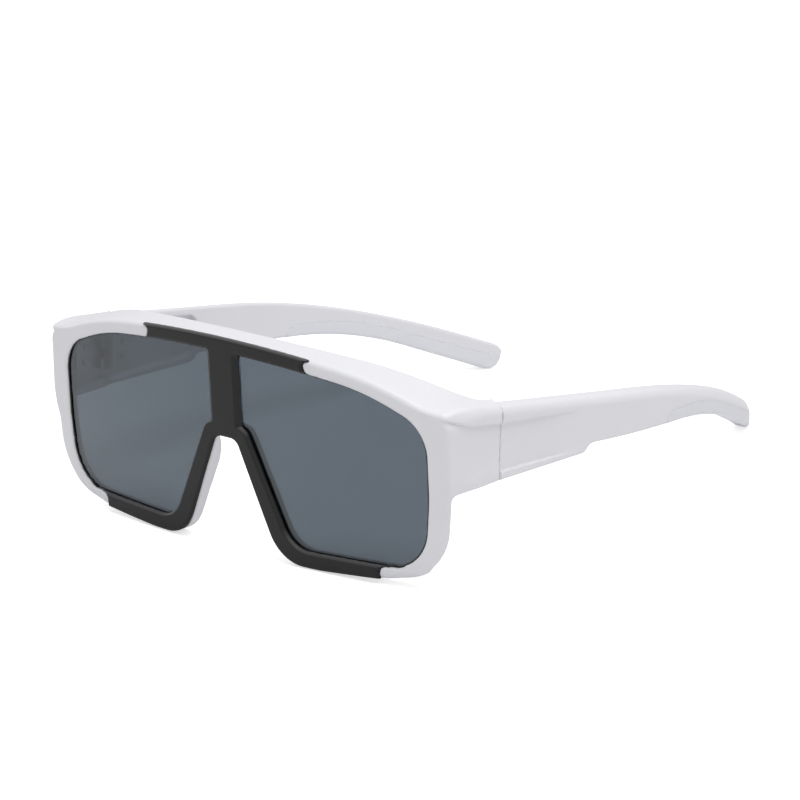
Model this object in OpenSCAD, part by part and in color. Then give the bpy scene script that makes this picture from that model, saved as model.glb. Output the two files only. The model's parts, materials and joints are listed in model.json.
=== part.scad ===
// Hiking glasses: a white wrap-round front with one smoke shield lens, a black trim, and two folding arms.
// All lengths in millimetres. X runs across the face (+X is the wearer's left), the front looks along -Y, +Z is up.
// The glasses stand open on their lower rims and on the tips of the arms, all at height 0.

/* [Front face] */
// half width of the front between its side walls
front_half = 72.0; // [68:0.1:76]
// radius of the curved front face seen from above
face_r = 400; // [200:10:600]
// backward lean of the front when the glasses stand on a table, degrees
front_lean = 1.9; // [0:0.1:6]
// height of the brow at the middle, measured along the leaning face
brow_z = 56.5; // [50:0.1:62]
// radius of the brow line over the middle
crown_r = 350; // [200:10:500]
// radius of the brow line over the outer shoulder
shoulder_r = 95; // [60:1:150]
// distance from the middle where the shoulder starts
shoulder_x = 38; // [30:1:50]
// turn of the brow line over the shoulder, degrees
shoulder_turn = 15.2; // [8:0.1:25]
// radius of the lens opening's upper edge under the shoulder
open_shoulder_r = 68; // [50:1:100]
// height of the white band between the brow line and the lens
brow_band = 3.9; // [3:0.1:6]
// depth of the lens ring behind the face
ring_depth = 4.4; // [3:0.1:7]
// depth of the nose wall behind the face
nose_depth = 4.8; // [4.5:0.1:10]
// width of the nose wall
nose_wall = 1.9; // [1.2:0.1:3]

/* [Lens opening] */
// width of the white band beside the lens
side_band = 6.4; // [3:0.1:9]
// height of the bottom edge of the lens opening
open_low = 4.2; // [3:0.1:6]
// radius of the upper outer corner of the opening
open_top_r = 11; // [6:0.5:16]
// radius of the lower outer corner of the opening
open_low_r = 12; // [6:0.5:16]
// half width of the nose arch at its foot
nose_foot = 17.2; // [12:0.1:20]
// half width of the nose arch at its top
nose_top = 3.3; // [2:0.1:8]
// height of the top of the nose arch
nose_z = 30; // [24:0.1:36]
// width of the black arms beside the nose arch
nose_arm = 4.6; // [4:0.1:8]
// height of the bridge band over the nose arch
bridge_band = 4.6; // [3:0.1:8]

/* [Lens] */
// thickness of the shield lens
lens_thick = 2.0; // [1.2:0.1:3]
// depth of the lens face behind the front face
lens_set = 1.5; // [1:0.1:3]
// how far the lens edge goes under its surround
lens_lap = 1.4; // [0.8:0.1:2.5]
// clearance between the lens and its groove
lens_gap = 0.1; // [0.02:0.01:0.3]

/* [Trim] */
// how far the trim stands proud of the white face
trim_proud = 0.5; // [0:0.1:1.5]
// half width of the centre bar
bar_half = 4.5; // [3:0.1:8]
// half length of the top bar at its lower edge
top_bar_half = 28.2; // [20:0.1:36]
// extra reach of the top bar along the brow line
top_bar_hook = 2; // [0:0.1:4]
// height of that reach
top_bar_hook_z = 1.7; // [0.8:0.1:3]
// half length of the lower trim, where the white claws begin
low_trim_half = 50; // [40:0.5:60]
// thickness of the trim where the white nose wall stands up behind it
nose_trim = 0.9; // [0.6:0.1:1.5]
// clearance between the trim and the white parts
trim_gap = 0.1; // [0.02:0.01:0.3]
// radius of a snap peg behind the trim
peg_r = 0.5; // [0.4:0.05:0.8]
// clearance round a snap peg
peg_gap = 0.05; // [0.02:0.01:0.2]
// length of a snap peg behind its seat in the ring
peg_length = 1.9; // [1:0.1:3]

/* [Brow shelf and end pieces] */
// thickness of the brow shelf
shelf_thick = 3.6; // [2.5:0.1:5]
// depth of the brow shelf at the middle
shelf_depth = 8; // [5:0.5:14]
// radius of the shelf's rear edge seen from above
shelf_rear_r = 180; // [100:5:400]
// how far the end pieces stand out beyond the front at the seam
end_flare = 1.2; // [0.4:0.1:3]
// wall thickness of the end pieces and the arm blocks
wall = 2.2; // [1.6:0.1:3]
// width of the flanges along the top and bottom of the end pieces and arm blocks
flange = 4.7; // [3:0.1:7]
// thickness of those flanges
flange_thick = 2.4; // [1.6:0.1:4]
// distance of the seam behind the front face, at the hinge's height
seam_y = 25.7; // [20:0.1:32]
// height of the hinge's middle
hinge_z = 34.6; // [30:0.1:40]
// lean of the seam and the hinge from upright, degrees
hinge_tilt = 8; // [4:0.5:14]
// open gap at the seam
seam_gap = 0.3; // [0.1:0.05:0.6]
// height of the end piece's bottom edge at the ring
end_low = 26; // [22:0.1:30]
// depth of the recessed side panel
panel_depth = 0.7; // [0.3:0.1:1.2]
// height of the ledge over the side panel
ledge = 5.0; // [3:0.1:7]
// height of the lip under the side panel
lip = 2.8; // [1.5:0.1:5]
// width of the bevel along the outer top edge
bevel = 2.4; // [1:0.1:3.5]
// outward fall of that bevel, degrees
bevel_fall = 21; // [10:1:40]

/* [Arms] */
// how far the arms stand out beyond the end pieces
arm_flare = 0.2; // [0:0.05:1]
// distance behind the face where the arms start to bend in
bend_y = 66; // [50:1:90]
// radius of the inward bend
bend_r = 150; // [110:1:200]
// width of an arm seen from above
arm_thick = 4.6; // [3.5:0.1:6]
// distance of the tip's top corner behind the face, before it is rounded
tip_y = 151; // [140:0.5:170]
// height of the arm's top edge at the seam
arm_top = 45.2; // [42:0.1:50]
// fall of the arm's top edge, millimetres for each millimetre back
top_fall = 0.207; // [0.1:0.001:0.3]
// height of the arm's bottom edge at the seam
arm_low = 25.4; // [22:0.1:30]
// distance behind the face where the deep front block ends
block_y = 56; // [45:0.5:70]
// height of the step at the block's end
block_step = 1.9; // [0.5:0.1:4]
// fall of the arm's bottom edge behind the block
low_fall = 0.13; // [0.05:0.005:0.3]
// fall of the tip stretch
tip_fall = 0.52; // [0.3:0.01:0.7]
// width of the blade at the tip, seen from the side
tip_blade = 7.9; // [6:0.1:12]
// radius of the top corner of the tip
tip_top_r = 3.8; // [2:0.1:4.5]
// radius of the bottom corner of the tip
tip_low_r = 2.8; // [1.5:0.1:3.2]
// radius of the long bend of the arm's top edge
top_bend_r = 260; // [150:10:400]
// radius of the bend of the arm's bottom edge
low_bend_r = 100; // [60:10:200]

/* [Tip pads] */
// distance behind the face where the pads start
pad_y = 88.3; // [80:0.5:110]
// height of the pads
pad_height = 3.9; // [2:0.1:6]
// how far the pads stand proud of the arm
pad_proud = 0.15; // [0:0.05:0.4]
// thickness of the arm's core behind the pads
pad_core = 1.8; // [1:0.1:3]

/* [Hinges] */
// distance of the hinge axis inside the outer face at the seam
hinge_inset = 5.0; // [4.2:0.1:7]
// radius of the hinge knuckles
knuckle_r = 1.7; // [1.2:0.05:2.5]
// height of one knuckle
knuckle_h = 2.7; // [2:0.1:4]
// gap between two knuckles
knuckle_gap = 0.1; // [0.05:0.01:0.3]
// radius of the hinge screw's shaft
screw_r = 0.7; // [0.5:0.05:1]
// running clearance of the middle knuckle on the screw
screw_gap = 0.04; // [0.01:0.01:0.1]
// radius of the hinge screw's head
screw_head_r = 1.3; // [1:0.05:2]
// height of the hinge screw's head
screw_head_h = 0.7; // [0.4:0.1:1.2]
// thickness of the leaf plates
leaf_thick = 0.9; // [0.6:0.1:1.5]
// height of the leaf plates
leaf_height = 8.3; // [6:0.1:10]
// length of the leaf plates from the axis
leaf_length = 10; // [7:0.5:14]
// radius of a fixing screw's shaft
fix_r = 0.6; // [0.4:0.05:0.9]
// radius of a fixing screw's head
fix_head_r = 1.1; // [0.8:0.05:1.6]
// height of a fixing screw's head
fix_head_h = 0.5; // [0.3:0.1:0.8]
// height between two fixing screws
fix_pitch = 4.4; // [3:0.1:6]
// distance of the fixing screws from the hinge axis
fix_reach = 6.8; // [5:0.1:9]
// depth of a fixing screw in the wall
fix_bite = 0.7; // [0.4:0.1:1.2]

/* [Hidden] */
// slope of the tip stretch
tip_angle = atan(tip_fall);
// where the rounded tip ends, and the middle of the open glasses behind the front face
tip_end = tip_y - tip_top_r * (sqrt(2) * cos(45 - tip_angle) - 1);
middle_y = tip_end / 2;
// lower corners of the lens ring
rim_low_x = front_half - 2.3;
rim_low_z = 4.9;
rim_low_r = 16;
rim_side_z = 27;
// rear slope of the ring's outer edge under the end pieces: where it starts behind the face, and its width
rim_slope_y = face_r - sqrt(face_r * face_r - front_half * front_half) + 0.8;
rim_slope = 3.7;
// side and bottom edge of the front under the white claws
claw_foot_z = 1.2;
// top corner of the front
brow_corner_r = 3;
// lift that keeps the rear lower edge of the leaning front on the table
foot_lift = (ring_depth + 1.1) * sin(front_lean);
// corner steps of curves
steps = 10;
round_fn = 48;
wide_fn = 720;
over = 1;
// widths that follow the front
open_half = front_half - side_band;
seam_half = front_half + end_flare;
arm_half = seam_half + arm_flare;
hinge_x = seam_half - hinge_inset;
// a distance past every outer face
reach = front_half + 20;
// lens outline
lens_low_x = open_half - 2;
nose_slope = (nose_foot - nose_top) / nose_z;
// hinge
screw_length = 3 * knuckle_h + 2 * knuckle_gap;
wall_in = seam_half - wall;
leaf_x = wall_in - leaf_thick;
// distances along the arm
// drop of the tip's bottom corner under the table plane, so that its rounded corner just touches it
tip_drop = tip_low_r * (sqrt(2) * cos(45 - tip_angle) - 1);
tip_height = tip_blade * cos(tip_angle) - tip_drop;
tip_low_y = tip_y - tip_blade * sin(tip_angle);
arm_bend_y = (arm_top + top_fall * seam_y - tip_height - tip_fall * tip_y) / (top_fall - tip_fall);
arm_bend_z = arm_top - top_fall * (arm_bend_y - seam_y);
block_low = arm_low - 0.063 * (block_y - seam_y);
low_start_z = block_low + block_step;
low_bend_y = (low_start_z + low_fall * (block_y + 2) + tip_drop - tip_fall * tip_low_y)
    / (low_fall - tip_fall);
low_bend_z = low_start_z - low_fall * (low_bend_y - block_y - 2);

// length of a flat vector
function size2(v) = sqrt(v[0] * v[0] + v[1] * v[1]);

// unit vector from a to b
function toward(a, b) = [b[0] - a[0], b[1] - a[1]] / size2([b[0] - a[0], b[1] - a[1]]);

// signed turn from a to b, degrees
function turn(a, b) = ((b - a + 540) % 360) - 180;

// points of a fillet of radius b[2] at corner b between a and c
function fillet(a, b, c) =
    let (u = toward(b, a))
    let (v = toward(b, c))
    let (half = acos(u * v) / 2)
    let (w = (u + v) / size2(u + v))
    let (m = [b[0], b[1]] + w * b[2] / sin(half))
    let (p = [b[0], b[1]] + u * b[2] / tan(half))
    let (q = [b[0], b[1]] + v * b[2] / tan(half))
    let (from = atan2(p[1] - m[1], p[0] - m[0]))
    let (sweep = turn(from, atan2(q[1] - m[1], q[0] - m[0])))
    [for (i = [0:steps]) m + b[2] * [cos(from + sweep * i / steps), sin(from + sweep * i / steps)]];

// closed outline from corners [x, y, fillet radius]
function outline(p) =
    [for (i = [0:len(p) - 1])
        each p[i][2] == 0 ? [[p[i][0], p[i][1]]]
            : fillet(p[(i + len(p) - 1) % len(p)], p[i], p[(i + 1) % len(p)])];

// a right half and its mirror image, as one closed list of corners
function both(h) = concat(h, [for (i = [len(h) - 1:-1:0]) if (h[i][0] > 0) [-h[i][0], h[i][1], h[i][2]]]);

// height of the brow line at distance x from the middle, for corners of the outline
function tangent_z(x) = brow_z - crown_r * (1 - cos(shoulder_slope)) - (x - shoulder_x) * tan(shoulder_slope);
shoulder_slope = asin(shoulder_x / crown_r);
shoulder_corner_x = shoulder_x + shoulder_r * tan(shoulder_turn / 2) * cos(shoulder_slope) + 0.1;
open_corner_x = shoulder_x + open_shoulder_r * tan(shoulder_turn / 2) * cos(shoulder_slope) + 0.1;
shoulder_fall = tan(shoulder_slope + shoulder_turn);
brow_apex = brow_z + crown_r * (1 / cos(asin(shoulder_x / crown_r)) - 1);
function brow_corner_z(x, from) = tangent_z(from) - shoulder_fall * (x - from);

// corners of the brow line, lowered by drop, with the shoulder's corner at distance x and its radius r
function brow_corners(drop, x, r) = [
    [0, brow_apex - drop, crown_r - drop],
    [x, tangent_z(x) - drop, r]];

// corners of the front's outer edge, right half
function front_corners() = concat(brow_corners(0, shoulder_corner_x, shoulder_r), [
    [front_half, brow_corner_z(front_half, shoulder_corner_x), brow_corner_r],
    [front_half, rim_side_z, 60],
    [rim_low_x, rim_low_z, rim_low_r],
    [low_trim_half, claw_foot_z, 40],
    [30, 0, 60],
    [nose_foot, 0, 12],
    [nose_top, nose_z, 3]]);

// corners of the lens opening, right half, grown by g
function opening_corners(g) = concat(brow_corners(brow_band - g, open_corner_x, open_shoulder_r + g), [
    [open_half + g, brow_corner_z(open_half, open_corner_x) - brow_band + g * 0.6, open_top_r + g],
    [open_half + g, rim_side_z - 3, 60],
    [lens_low_x + g, open_low + 1 - g, open_low_r + g],
    [nose_foot + nose_arm - g, open_low - g, 9 - g],
    [nose_top + nose_arm - 0.9 - g, nose_z + bridge_band - 1.4 - g, 4 + g],
    [0, nose_z + bridge_band - g, 12]]);

// a solid in the leaning front's own place
module leaning() {
    translate([0, -middle_y, foot_lift])
        rotate([-front_lean, 0, 0])
            children();
}

// a solid in the upright place
module standing() {
    translate([0, -middle_y, 0])
        children();
}

// drawing in the XZ plane made thick along Y, from y = from to y = to
module along_y(from, to) {
    translate([0, to, 0])
        rotate([90, 0, 0])
            linear_extrude(to - from)
                children();
}

// drawing in the YZ plane made thick along X, from x = from to x = to
module along_x(from, to) {
    translate([from, 0, 0])
        rotate([90, 0, 90])
            linear_extrude(to - from)
                children();
}

// the layer between two depths behind the curved face
module face_layer(from, to) {
    translate([0, face_r, -10])
        difference() {
            cylinder(h = 90, r = face_r - from, $fn = wide_fn);
            translate([0, 0, -over])
                cylinder(h = 90 + 2 * over, r = face_r - to, $fn = wide_fn);
        }
}

module front_outline() {
    polygon(outline(both(front_corners())));
}

module opening_outline(g) {
    polygon(outline(both(opening_corners(g))));
}

// where the black trim lies, seen from the front; g is the play round it
module trim_area(g) {
    difference() {
        union() {
            translate([-top_bar_half - g, nose_z + bridge_band])
                square([2 * (top_bar_half + g), brow_z]);
            translate([-top_bar_half - top_bar_hook - g, tangent_z(top_bar_half) - top_bar_hook_z - g])
                square([2 * (top_bar_half + top_bar_hook + g), 10]);
            translate([-low_trim_half - g, -5])
                square([2 * (low_trim_half + g), nose_z + bridge_band + 5 + over]);
        }
        difference() {
            opening_outline(-g);
            translate([-bar_half - g, nose_z - 10])
                square([2 * (bar_half + g), brow_z]);
        }
    }
}

// places of the trim's snap pegs, right half: [x, z]
function peg_places() = [
    [low_trim_half - 5, 1.75],
    [26, 1.4],
    [nose_foot - 13 * nose_slope + nose_wall + peg_r + 0.5, 13],
    [12, brow_z - 1.4]];

module pegs(r, from, to) {
    for (side = [-1, 1])
        for (p = peg_places())
            translate([side * p[0], face_r - sqrt(face_r * face_r - p[0] * p[0]), p[1]])
                rotate([-90, 0, 0])
                    translate([0, 0, from])
                        cylinder(h = to - from, r = r, $fn = round_fn);
}

// corners of an arm seen from the side, [y, z, radius]; the seam leans with the hinge
function seam_at(z) = seam_y + (z - hinge_z) * tan(hinge_tilt);

module arm_side() {
    polygon(outline([
        [seam_at(arm_low), arm_low, 0],
        [block_y, block_low, 3],
        [block_y + 2, low_start_z, 3],
        [low_bend_y, low_bend_z, low_bend_r],
        [tip_low_y, -tip_drop, tip_low_r],
        [tip_y, tip_height, tip_top_r],
        [arm_bend_y, arm_bend_z, top_bend_r],
        [seam_at(arm_top), arm_top, 0]]));
}

// points of the arm's bend at distance w inside the outer face, from the straight stretch to past the tip
function bend_points(w) =
    [for (i = [0:16]) let (t = 36 * i / 16)
        [arm_half - bend_r + (bend_r - w) * cos(t), bend_y + (bend_r - w) * sin(t)]];

function reversed(p) = [for (i = [len(p) - 1:-1:0]) p[i]];

// an arm seen from above; g makes it wider on both faces
module arm_plan(g) {
    intersection() {
        polygon(concat([[arm_half + g, seam_y - 10]], bend_points(-g), reversed(bend_points(arm_thick + g)),
            [[arm_half - arm_thick - g, seam_y - 10]]));
        translate([20, 0])
            square([reach, tip_y + 5]);
    }
}

module arm_body(g) {
    intersection() {
        linear_extrude(60)
            arm_plan(g);
        along_x(20, reach)
            arm_side();
    }
}

// the strip of the tip that the soft pad takes, seen from the side
module pad_side(g) {
    polygon(outline([
        [pad_y - g, -5, 0],
        [tip_y + 10, -5, 0],
        [tip_y + 10, pad_height + g - tip_fall * 12, 0],
        [low_bend_y, low_bend_z + pad_height + g, 70],
        [pad_y - g, low_start_z - low_fall * (pad_y - block_y - 2) + pad_height + g, 2.5]]));
}

// the thin core that stays inside the pad strip
module pad_core_plan() {
    intersection() {
        polygon(concat(bend_points((arm_thick - pad_core) / 2), reversed(bend_points((arm_thick + pad_core) / 2))));
        translate([20, bend_y + 5])
            square([reach, tip_y - bend_y - 11]);
    }
}

module pad_core_bar() {
    intersection() {
        linear_extrude(60)
            pad_core_plan();
        along_x(20, reach)
            difference() {
                pad_side(over);
                translate([0, -1.6])
                    pad_side(0);
            }
    }
}

// the hollow inside an arm's front block
module block_hollow() {
    intersection() {
        translate([wall_in - 10, seam_y - 10, 0])
            cube([10, block_y - seam_y + 11, 60]);
        along_x(wall_in - 10 - over, wall_in + over)
            polygon(outline([
                [seam_y - 10, arm_low + flange_thick, 0],
                [block_y, block_low + flange_thick, 3],
                [block_y + 2, arm_top - flange_thick - top_fall * (block_y + 2 - seam_y), 3],
                [seam_y - 10, arm_top - flange_thick + top_fall * 10, 0]]));
    }
}

// the shallow panel sunk into an arm's outer face, fading out toward the rear
module arm_panel() {
    intersection() {
        linear_extrude(60)
            polygon([[seam_half - panel_depth, seam_y - 10], [arm_half + over, seam_y - 10],
                [arm_half + over, block_y + 2], [arm_half, block_y + 2]]);
        along_x(seam_half - 13, reach)
            polygon([[seam_y - 10, arm_low + lip + 0.5], [block_y - 4, block_low + lip],
                [block_y + 3, block_low + lip + 4], [block_y + 3, arm_top - ledge - top_fall * (block_y + 3 - seam_y)],
                [seam_y - 10, arm_top - ledge + top_fall * 10]]);
    }
}

// put a part at the left hinge: Z along the axis, Y back along the arm
module at_hinge() {
    translate([hinge_x, seam_y, hinge_z])
        rotate([-hinge_tilt, 0, 0])
            children();
}

// the place of a fixing screw: dir is -1 for the front leaf and 1 for the arm leaf, level is 1 upper or -1 lower
module at_fixing(dir, level) {
    at_hinge()
        translate([leaf_x - hinge_x, dir * fix_reach, level * fix_pitch / 2])
            rotate([0, 90, 0])
                children();
}

module fixing_bores(dir) {
    for (level = [-1, 1])
        at_fixing(dir, level)
            cylinder(h = leaf_thick + fix_bite, r = fix_r, $fn = round_fn);
}

module left_arm_shape() {
    difference() {
        arm_body(0);
        block_hollow();
        arm_panel();
        above_bevel();
        difference() {
            intersection() {
                translate([20, 0, -over])
                    cube([reach, tip_y + 50, 70]);
                along_x(20, reach)
                    pad_side(0);
            }
            pad_core_bar();
        }
        at_hinge()
            translate([-10, -30, -30])
                cube([20, 30 + seam_gap / 2, 60]);
        fixing_bores(1);
    }
}

module left_pad_shape() {
    difference() {
        intersection() {
            arm_body(pad_proud);
            along_x(20, reach)
                pad_side(-trim_gap / 2);
        }
        pad_core_bar();
    }
}

// one leaf: dir is -1 for the front leaf and 1 for the arm leaf
module leaf_plate(dir) {
    translate([leaf_x - hinge_x, dir > 0 ? knuckle_r + 0.2 : -leaf_length, -leaf_height / 2])
        cube([leaf_thick, leaf_length - knuckle_r - 0.2, leaf_height]);
}

// a knuckle with the web that joins it to its leaf plate
module knuckle(dir, low) {
    translate([0, 0, low]) {
        cylinder(h = knuckle_h, r = knuckle_r, $fn = round_fn);
        translate([0, dir > 0 ? 0 : -knuckle_r - 1.2, 0])
            cube([leaf_x + leaf_thick - hinge_x, knuckle_r + 1.2, knuckle_h]);
    }
}

module left_front_leaf_shape() {
    difference() {
        at_hinge()
            difference() {
                union() {
                    leaf_plate(-1);
                    knuckle(-1, knuckle_h / 2 + knuckle_gap);
                    knuckle(-1, -knuckle_h * 1.5 - knuckle_gap);
                }
                translate([0, 0, -10])
                    cylinder(h = 20, r = screw_r, $fn = round_fn);
            }
        fixing_bores(-1);
    }
}

module left_arm_leaf_shape() {
    difference() {
        at_hinge()
            difference() {
                union() {
                    leaf_plate(1);
                    knuckle(1, -knuckle_h / 2);
                }
                translate([0, 0, -10])
                    cylinder(h = 20, r = screw_r + screw_gap, $fn = round_fn);
            }
        fixing_bores(1);
    }
}

module left_hinge_screw_shape() {
    at_hinge() {
        translate([0, 0, -screw_length / 2])
            cylinder(h = screw_length, r = screw_r, $fn = round_fn);
        difference() {
            translate([0, 0, screw_length / 2])
                cylinder(h = screw_head_h, r = screw_head_r, $fn = round_fn);
            translate([-screw_head_r - over, -0.15, screw_length / 2 + screw_head_h - 0.3])
                cube([2 * screw_head_r + 2 * over, 0.3, 1]);
        }
    }
}

module fixing_screw_shape(dir, level) {
    at_fixing(dir, level) {
        cylinder(h = leaf_thick + fix_bite, r = fix_r, $fn = round_fn);
        difference() {
            translate([0, 0, -fix_head_h])
                cylinder(h = fix_head_h, r = fix_head_r, $fn = round_fn);
            translate([-fix_head_r - over, -0.15, -fix_head_h - over])
                cube([2 * fix_head_r + 2 * over, 0.3, 0.25 + over]);
        }
    }
}

// a right-hand copy of a left-hand shape
module right_hand() {
    mirror([1, 0, 0])
        children();
}

// all that lies above the bevelled outer top edge of the +X side
module above_bevel() {
    translate([seam_half - bevel, seam_y, arm_top])
        rotate([-atan(top_fall), 0, 0])
            rotate([0, bevel_fall, 0])
                translate([0, -25, 0])
                    cube([20, 150, 20]);
}

// the end piece on the +X side: wall, top flange and bottom lip as one channel
module end_piece() {
    difference() {
        intersection() {
            linear_extrude(60)
                polygon([[seam_half - flange, 8], [front_half - 0.3, 8],
                    [seam_half, seam_y - 2], [seam_half, seam_y + 6], [seam_half - flange, seam_y + 6]]);
            along_x(seam_half - 13, reach)
                polygon([[4, end_low], [seam_at(arm_low), arm_low], [seam_at(arm_top), arm_top],
                    [14, arm_top + 1.7], [4, arm_top + 1.7]]);
            along_y(0, 40)
                polygon([[seam_half - 13, 10], [reach, 10],
                    [reach, arm_top + 2.9 - (reach - front_half) * tan(bevel_fall)],
                    [seam_half - 13, arm_top + 2.9 + (front_half - seam_half + 13) * tan(bevel_fall)]]);
        }
        above_bevel();
        intersection() {
            translate([wall_in - 10, 9, 0])
                cube([10, 30, 60]);
            along_x(seam_half - 23, reach)
                polygon([[0, end_low + flange_thick], [seam_y + 9, arm_low + flange_thick],
                    [seam_y + 9, arm_top - flange_thick - 1.5], [0, arm_top - flange_thick + 0.6]]);
        }
        intersection() {
            linear_extrude(60)
                polygon([[front_half - 0.3 - panel_depth, 6], [front_half - 0.3 - panel_depth, 8],
                    [seam_half - panel_depth, seam_y - 2], [seam_half - panel_depth, seam_y + 7],
                    [reach, seam_y + 7], [reach, 6]]);
            along_x(seam_half - 13, reach)
                polygon([[0, 0], [10, end_low - over], [18, end_low + lip], [seam_y + 9, arm_low + lip + 0.5],
                    [seam_y + 9, arm_top - ledge - 1.6], [16, arm_top - ledge + 2], [0, arm_top + 2.4]]);
        }
    }
}

// the brow shelf seen from above
module shelf_plan() {
    difference() {
        translate([-reach, -5])
            square([2 * reach, 60]);
        translate([0, shelf_depth + shelf_rear_r])
            circle(r = shelf_rear_r, $fn = wide_fn);
    }
    for (side = [-1, 1])
        mirror([side > 0 ? 0 : 1, 0])
            polygon(outline([[front_half - 22, 10, 0], [reach, 10, 0], [reach, seam_y + 1, 0],
                [seam_half - flange - 0.1, seam_y + 1, 0], [seam_half - flange - 0.1, 21, 6], [front_half - 22, 14.5, 0]]));
}

// the slab of the brow shelf seen from the front: everything above its underside
module shelf_zone() {
    polygon(outline(both(concat([[0, 100, 0], [reach, 100, 0],
        [reach, brow_corner_z(reach, open_corner_x) - shelf_thick, 0]],
        reversed(brow_corners(shelf_thick, open_corner_x, open_shoulder_r))))));
}

// the nose wall seen from the front, with the gap it surrounds, drawn in by g
module nose_zone(g = 0) {
    polygon(outline(both([
        [0, nose_z + nose_wall - g, 0],
        [nose_top + nose_wall - 0.4 - g, nose_z + nose_wall - g, 4],
        [nose_foot + nose_wall - g, -3, 0]])));
}

// all the room that the trim may take: everywhere but the lip of the nose wall, which stands up behind it
module nose_lip(g) {
    difference() {
        translate([-reach, -10, -10])
            cube([2 * reach, 50, 2 * brow_z]);
        intersection() {
            along_y(0, 40)
                nose_zone(g);
            translate([0, face_r, -15])
                cylinder(h = 100, r = face_r + trim_proud - nose_trim - g, $fn = wide_fn);
        }
    }
}

// the leaning part of the frame: lens ring, nose wall and brow shelf in one piece
module front_body() {
    difference() {
        intersection() {
            along_y(-10, 50)
                front_outline();
            translate([0, face_r, -10])
                cylinder(h = 90, r = face_r, $fn = wide_fn);
        }
        along_y(-20, 60)
            opening_outline(0);
        intersection() {
            along_y(-20, 60)
                difference() {
                    translate([-reach, -20])
                        square([2 * reach, 2 * brow_z]);
                    shelf_zone();
                    nose_zone();
                }
            translate([0, face_r, -15])
                cylinder(h = 100, r = face_r - ring_depth, $fn = wide_fn);
        }
        for (side = [0, 1])
            mirror([side, 0, 0])
                translate([0, 0, -10])
                    linear_extrude(end_low + 8)
                        polygon([[front_half + over, rim_slope_y - over],
                            [front_half - rim_slope, rim_slope_y + rim_slope],
                            [front_half + over, rim_slope_y + rim_slope]]);
        intersection() {
            translate([-nose_foot - 20, -20, -20])
                cube([2 * nose_foot + 40, 80, nose_z + 30]);
            translate([0, face_r, -15])
                cylinder(h = 100, r = face_r - nose_depth, $fn = wide_fn);
        }
        intersection() {
            along_y(-20, 60)
                translate([0, -over])
                    shelf_zone();
            translate([0, 0, 20])
                linear_extrude(60)
                    difference() {
                        translate([-reach, 2])
                            square([2 * reach, 70]);
                        shelf_plan();
                    }
        }
    }
}

module front_frame() {
    color([0.93, 0.93, 0.94]) {
        difference() {
            union() {
                leaning()
                    front_body();
                standing() {
                    end_piece();
                    right_hand()
                        end_piece();
                }
            }
            leaning() {
                intersection() {
                    along_y(-10, 40)
                        opening_outline(lens_lap + lens_gap);
                    face_layer(lens_set - lens_gap, lens_set + lens_thick + lens_gap);
                }
                intersection() {
                    along_y(-10, 40)
                        trim_area(trim_gap);
                    face_layer(-5, lens_set);
                    nose_lip(trim_gap);
                }
                pegs(peg_r + peg_gap, 0, lens_set + peg_length + 0.2);
            }
            standing() {
                for (side = [0, 1])
                    mirror([side, 0, 0]) {
                        at_hinge()
                            translate([-10, -seam_gap / 2, -30])
                                cube([20, 30, 60]);
                        fixing_bores(-1);
                    }
            }
        }
    }
}

module trim() {
    color([0.16, 0.16, 0.17])
        leaning() {
            intersection() {
                along_y(-10, 40)
                    intersection() {
                        front_outline();
                        trim_area(0);
                    }
                face_layer(-trim_proud, lens_set - trim_gap);
                nose_lip(0);
            }
            pegs(peg_r, lens_set - 0.5, lens_set + peg_length);
        }
}

module lens() {
    color([0.36, 0.4, 0.44])
        leaning()
            intersection() {
                along_y(-10, 40)
                    opening_outline(lens_lap);
                face_layer(lens_set, lens_set + lens_thick);
            }
}

module left_arm() {
    color([0.9, 0.9, 0.92])
        standing()
            left_arm_shape();
}

module right_arm() {
    color([0.9, 0.9, 0.92])
        standing()
            right_hand()
                left_arm_shape();
}

module left_tip_pad() {
    color([0.78, 0.79, 0.84])
        standing()
            left_pad_shape();
}

module right_tip_pad() {
    color([0.78, 0.79, 0.84])
        standing()
            right_hand()
                left_pad_shape();
}

module left_front_leaf() {
    color([0.7, 0.7, 0.72])
        standing()
            left_front_leaf_shape();
}

module right_front_leaf() {
    color([0.7, 0.7, 0.72])
        standing()
            right_hand()
                left_front_leaf_shape();
}

module left_arm_leaf() {
    color([0.66, 0.66, 0.68])
        standing()
            left_arm_leaf_shape();
}

module right_arm_leaf() {
    color([0.66, 0.66, 0.68])
        standing()
            right_hand()
                left_arm_leaf_shape();
}

module left_hinge_screw() {
    color([0.55, 0.55, 0.57])
        standing()
            left_hinge_screw_shape();
}

module right_hinge_screw() {
    color([0.55, 0.55, 0.57])
        standing()
            right_hand()
                left_hinge_screw_shape();
}

// a fixing screw on the left or, with side -1, on the right
module fixing_screw(side, dir, level) {
    color([0.6, 0.6, 0.62])
        standing()
            mirror([side > 0 ? 0 : 1, 0, 0])
                fixing_screw_shape(dir, level);
}

front_frame();
trim();
lens();
left_arm();
right_arm();
left_tip_pad();
right_tip_pad();
left_front_leaf();
right_front_leaf();
left_arm_leaf();
right_arm_leaf();
left_hinge_screw();
right_hinge_screw();
fixing_screw(1, -1, 1);  // left_front_upper_screw
fixing_screw(1, -1, -1);  // left_front_lower_screw
fixing_screw(-1, -1, 1);  // right_front_upper_screw
fixing_screw(-1, -1, -1);  // right_front_lower_screw
fixing_screw(1, 1, 1);  // left_arm_upper_screw
fixing_screw(1, 1, -1);  // left_arm_lower_screw
fixing_screw(-1, 1, 1);  // right_arm_upper_screw
fixing_screw(-1, 1, -1);  // right_arm_lower_screw
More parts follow.
